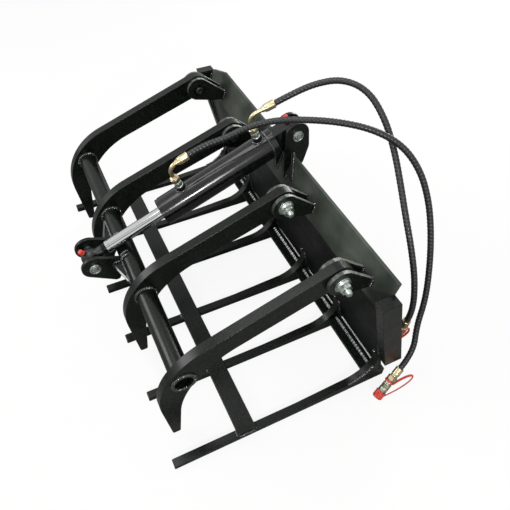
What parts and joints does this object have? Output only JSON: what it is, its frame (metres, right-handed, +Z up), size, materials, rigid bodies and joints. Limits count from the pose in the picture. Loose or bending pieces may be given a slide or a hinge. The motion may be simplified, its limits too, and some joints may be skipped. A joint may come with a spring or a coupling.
{
  "type": "grapple bucket",
  "caption": "Fork grapple for a compact loader: flat tines on a bent mounting plate, and a hooked jaw on bolted pivots, opened by one hydraulic cylinder with two hoses.",
  "frame": {"origin": "centre of the whole part's bounding box in X and Y, measured without the free hoses and their ends, at the level of the tines' undersides", "axes": "+X across the bucket (right when seen from the tine tips), +Y from the tine tips to the mounting side, +Z up with the tines flat on the ground"},
  "size_m": [1.3318, 0.9518, 0.8142],
  "materials": {
    "black_paint": "gloss",
    "bright_zinc": "satin",
    "spring_steel": "satin",
    "yellow_zinc": "satin",
    "coupler_zinc": "satin",
    "hose_rubber": "satin",
    "red_plastic": "satin",
    "seal_rubber": "matt",
    "bush_bronze": "satin",
    "chromed_rod": "polished",
    "machined_steel": "turned",
    "dark_steel": "blackened"
  },
  "bodies": {
    "frame": {"mount_plate": "black_paint", "foot_strips": "black_paint", "coupler_lip": "black_paint", "latch_flange": "black_paint", "end_posts": "black_paint", "end_post_caps": "black_paint", "crossbar": "black_paint", "ram_ears": "black_paint", "tine_1": "black_paint", "tine_2": "black_paint", "tine_3": "black_paint", "tine_4": "black_paint", "tine_5": "black_paint", "tine_6": "black_paint", "pivot_ears_1": "black_paint", "pivot_ears_2": "black_paint", "pivot_ears_3": "black_paint", "pivot_ears_4": "black_paint", "pivot_bolts": "bright_zinc", "pivot_washers": "bright_zinc", "pivot_nuts": "bright_zinc", "rear_pin": "bright_zinc", "rear_pin_clip": "spring_steel", "hose_a": "hose_rubber", "hose_b": "hose_rubber", "coupler_ferrules": "yellow_zinc", "coupler_nuts": "yellow_zinc", "couplers": "coupler_zinc", "dust_caps": "red_plastic", "cap_straps": "red_plastic"},
    "jaw": {"jaw_arm_1": "black_paint", "jaw_arm_2": "black_paint", "jaw_arm_3": "black_paint", "jaw_arm_4": "black_paint", "arm_bushes": "bush_bronze", "cross_pipe": "black_paint", "clevis_ears": "black_paint", "clevis_gussets": "black_paint", "front_pin": "bright_zinc", "front_pin_clip": "spring_steel"},
    "barrel": {"barrel_tube": "black_paint", "rod_gland": "black_paint", "rod_wiper": "seal_rubber", "base_cap": "black_paint", "base_eye": "black_paint", "base_bush": "bush_bronze", "port_bosses": "black_paint", "port_adapters": "bright_zinc", "swivel_nuts": "yellow_zinc", "hose_elbows": "yellow_zinc", "ram_ferrules": "yellow_zinc", "base_grease_nipple": "spring_steel", "base_grease_cap": "red_plastic"},
    "rod": {"piston_rod": "chromed_rod", "piston": "machined_steel", "piston_seal": "seal_rubber", "rod_eye": "dark_steel", "lock_collar": "dark_steel", "rod_grease_nipple": "spring_steel", "rod_grease_cap": "red_plastic"}
  },
  "joints": [
    {"name": "jaw_hinge", "type": "hinge", "parent": "frame", "child": "jaw", "pos_m": [0, 0.162, 0.51], "axis": [-1, 0, 0], "range_deg": [0, 60]},
    {"name": "barrel_tilt", "type": "hinge", "parent": "frame", "child": "barrel", "pos_m": [0, 0.291, 0.606], "axis": [-1, 0, 0], "range_deg": [0, 50], "deforming": ["hose_a", "hose_b"]},
    {"name": "rod_slide", "type": "slide", "parent": "barrel", "child": "rod", "axis": [0, 0.9292, 0.3695], "range_m": [0, 0.095]}
  ],
  "couplings": [
    {"joint": "barrel_tilt", "follows": "jaw_hinge", "ratio": 0.8205},
    {"joint": "rod_slide", "follows": "jaw_hinge", "m_per_rad": 0.0894}
  ]
}
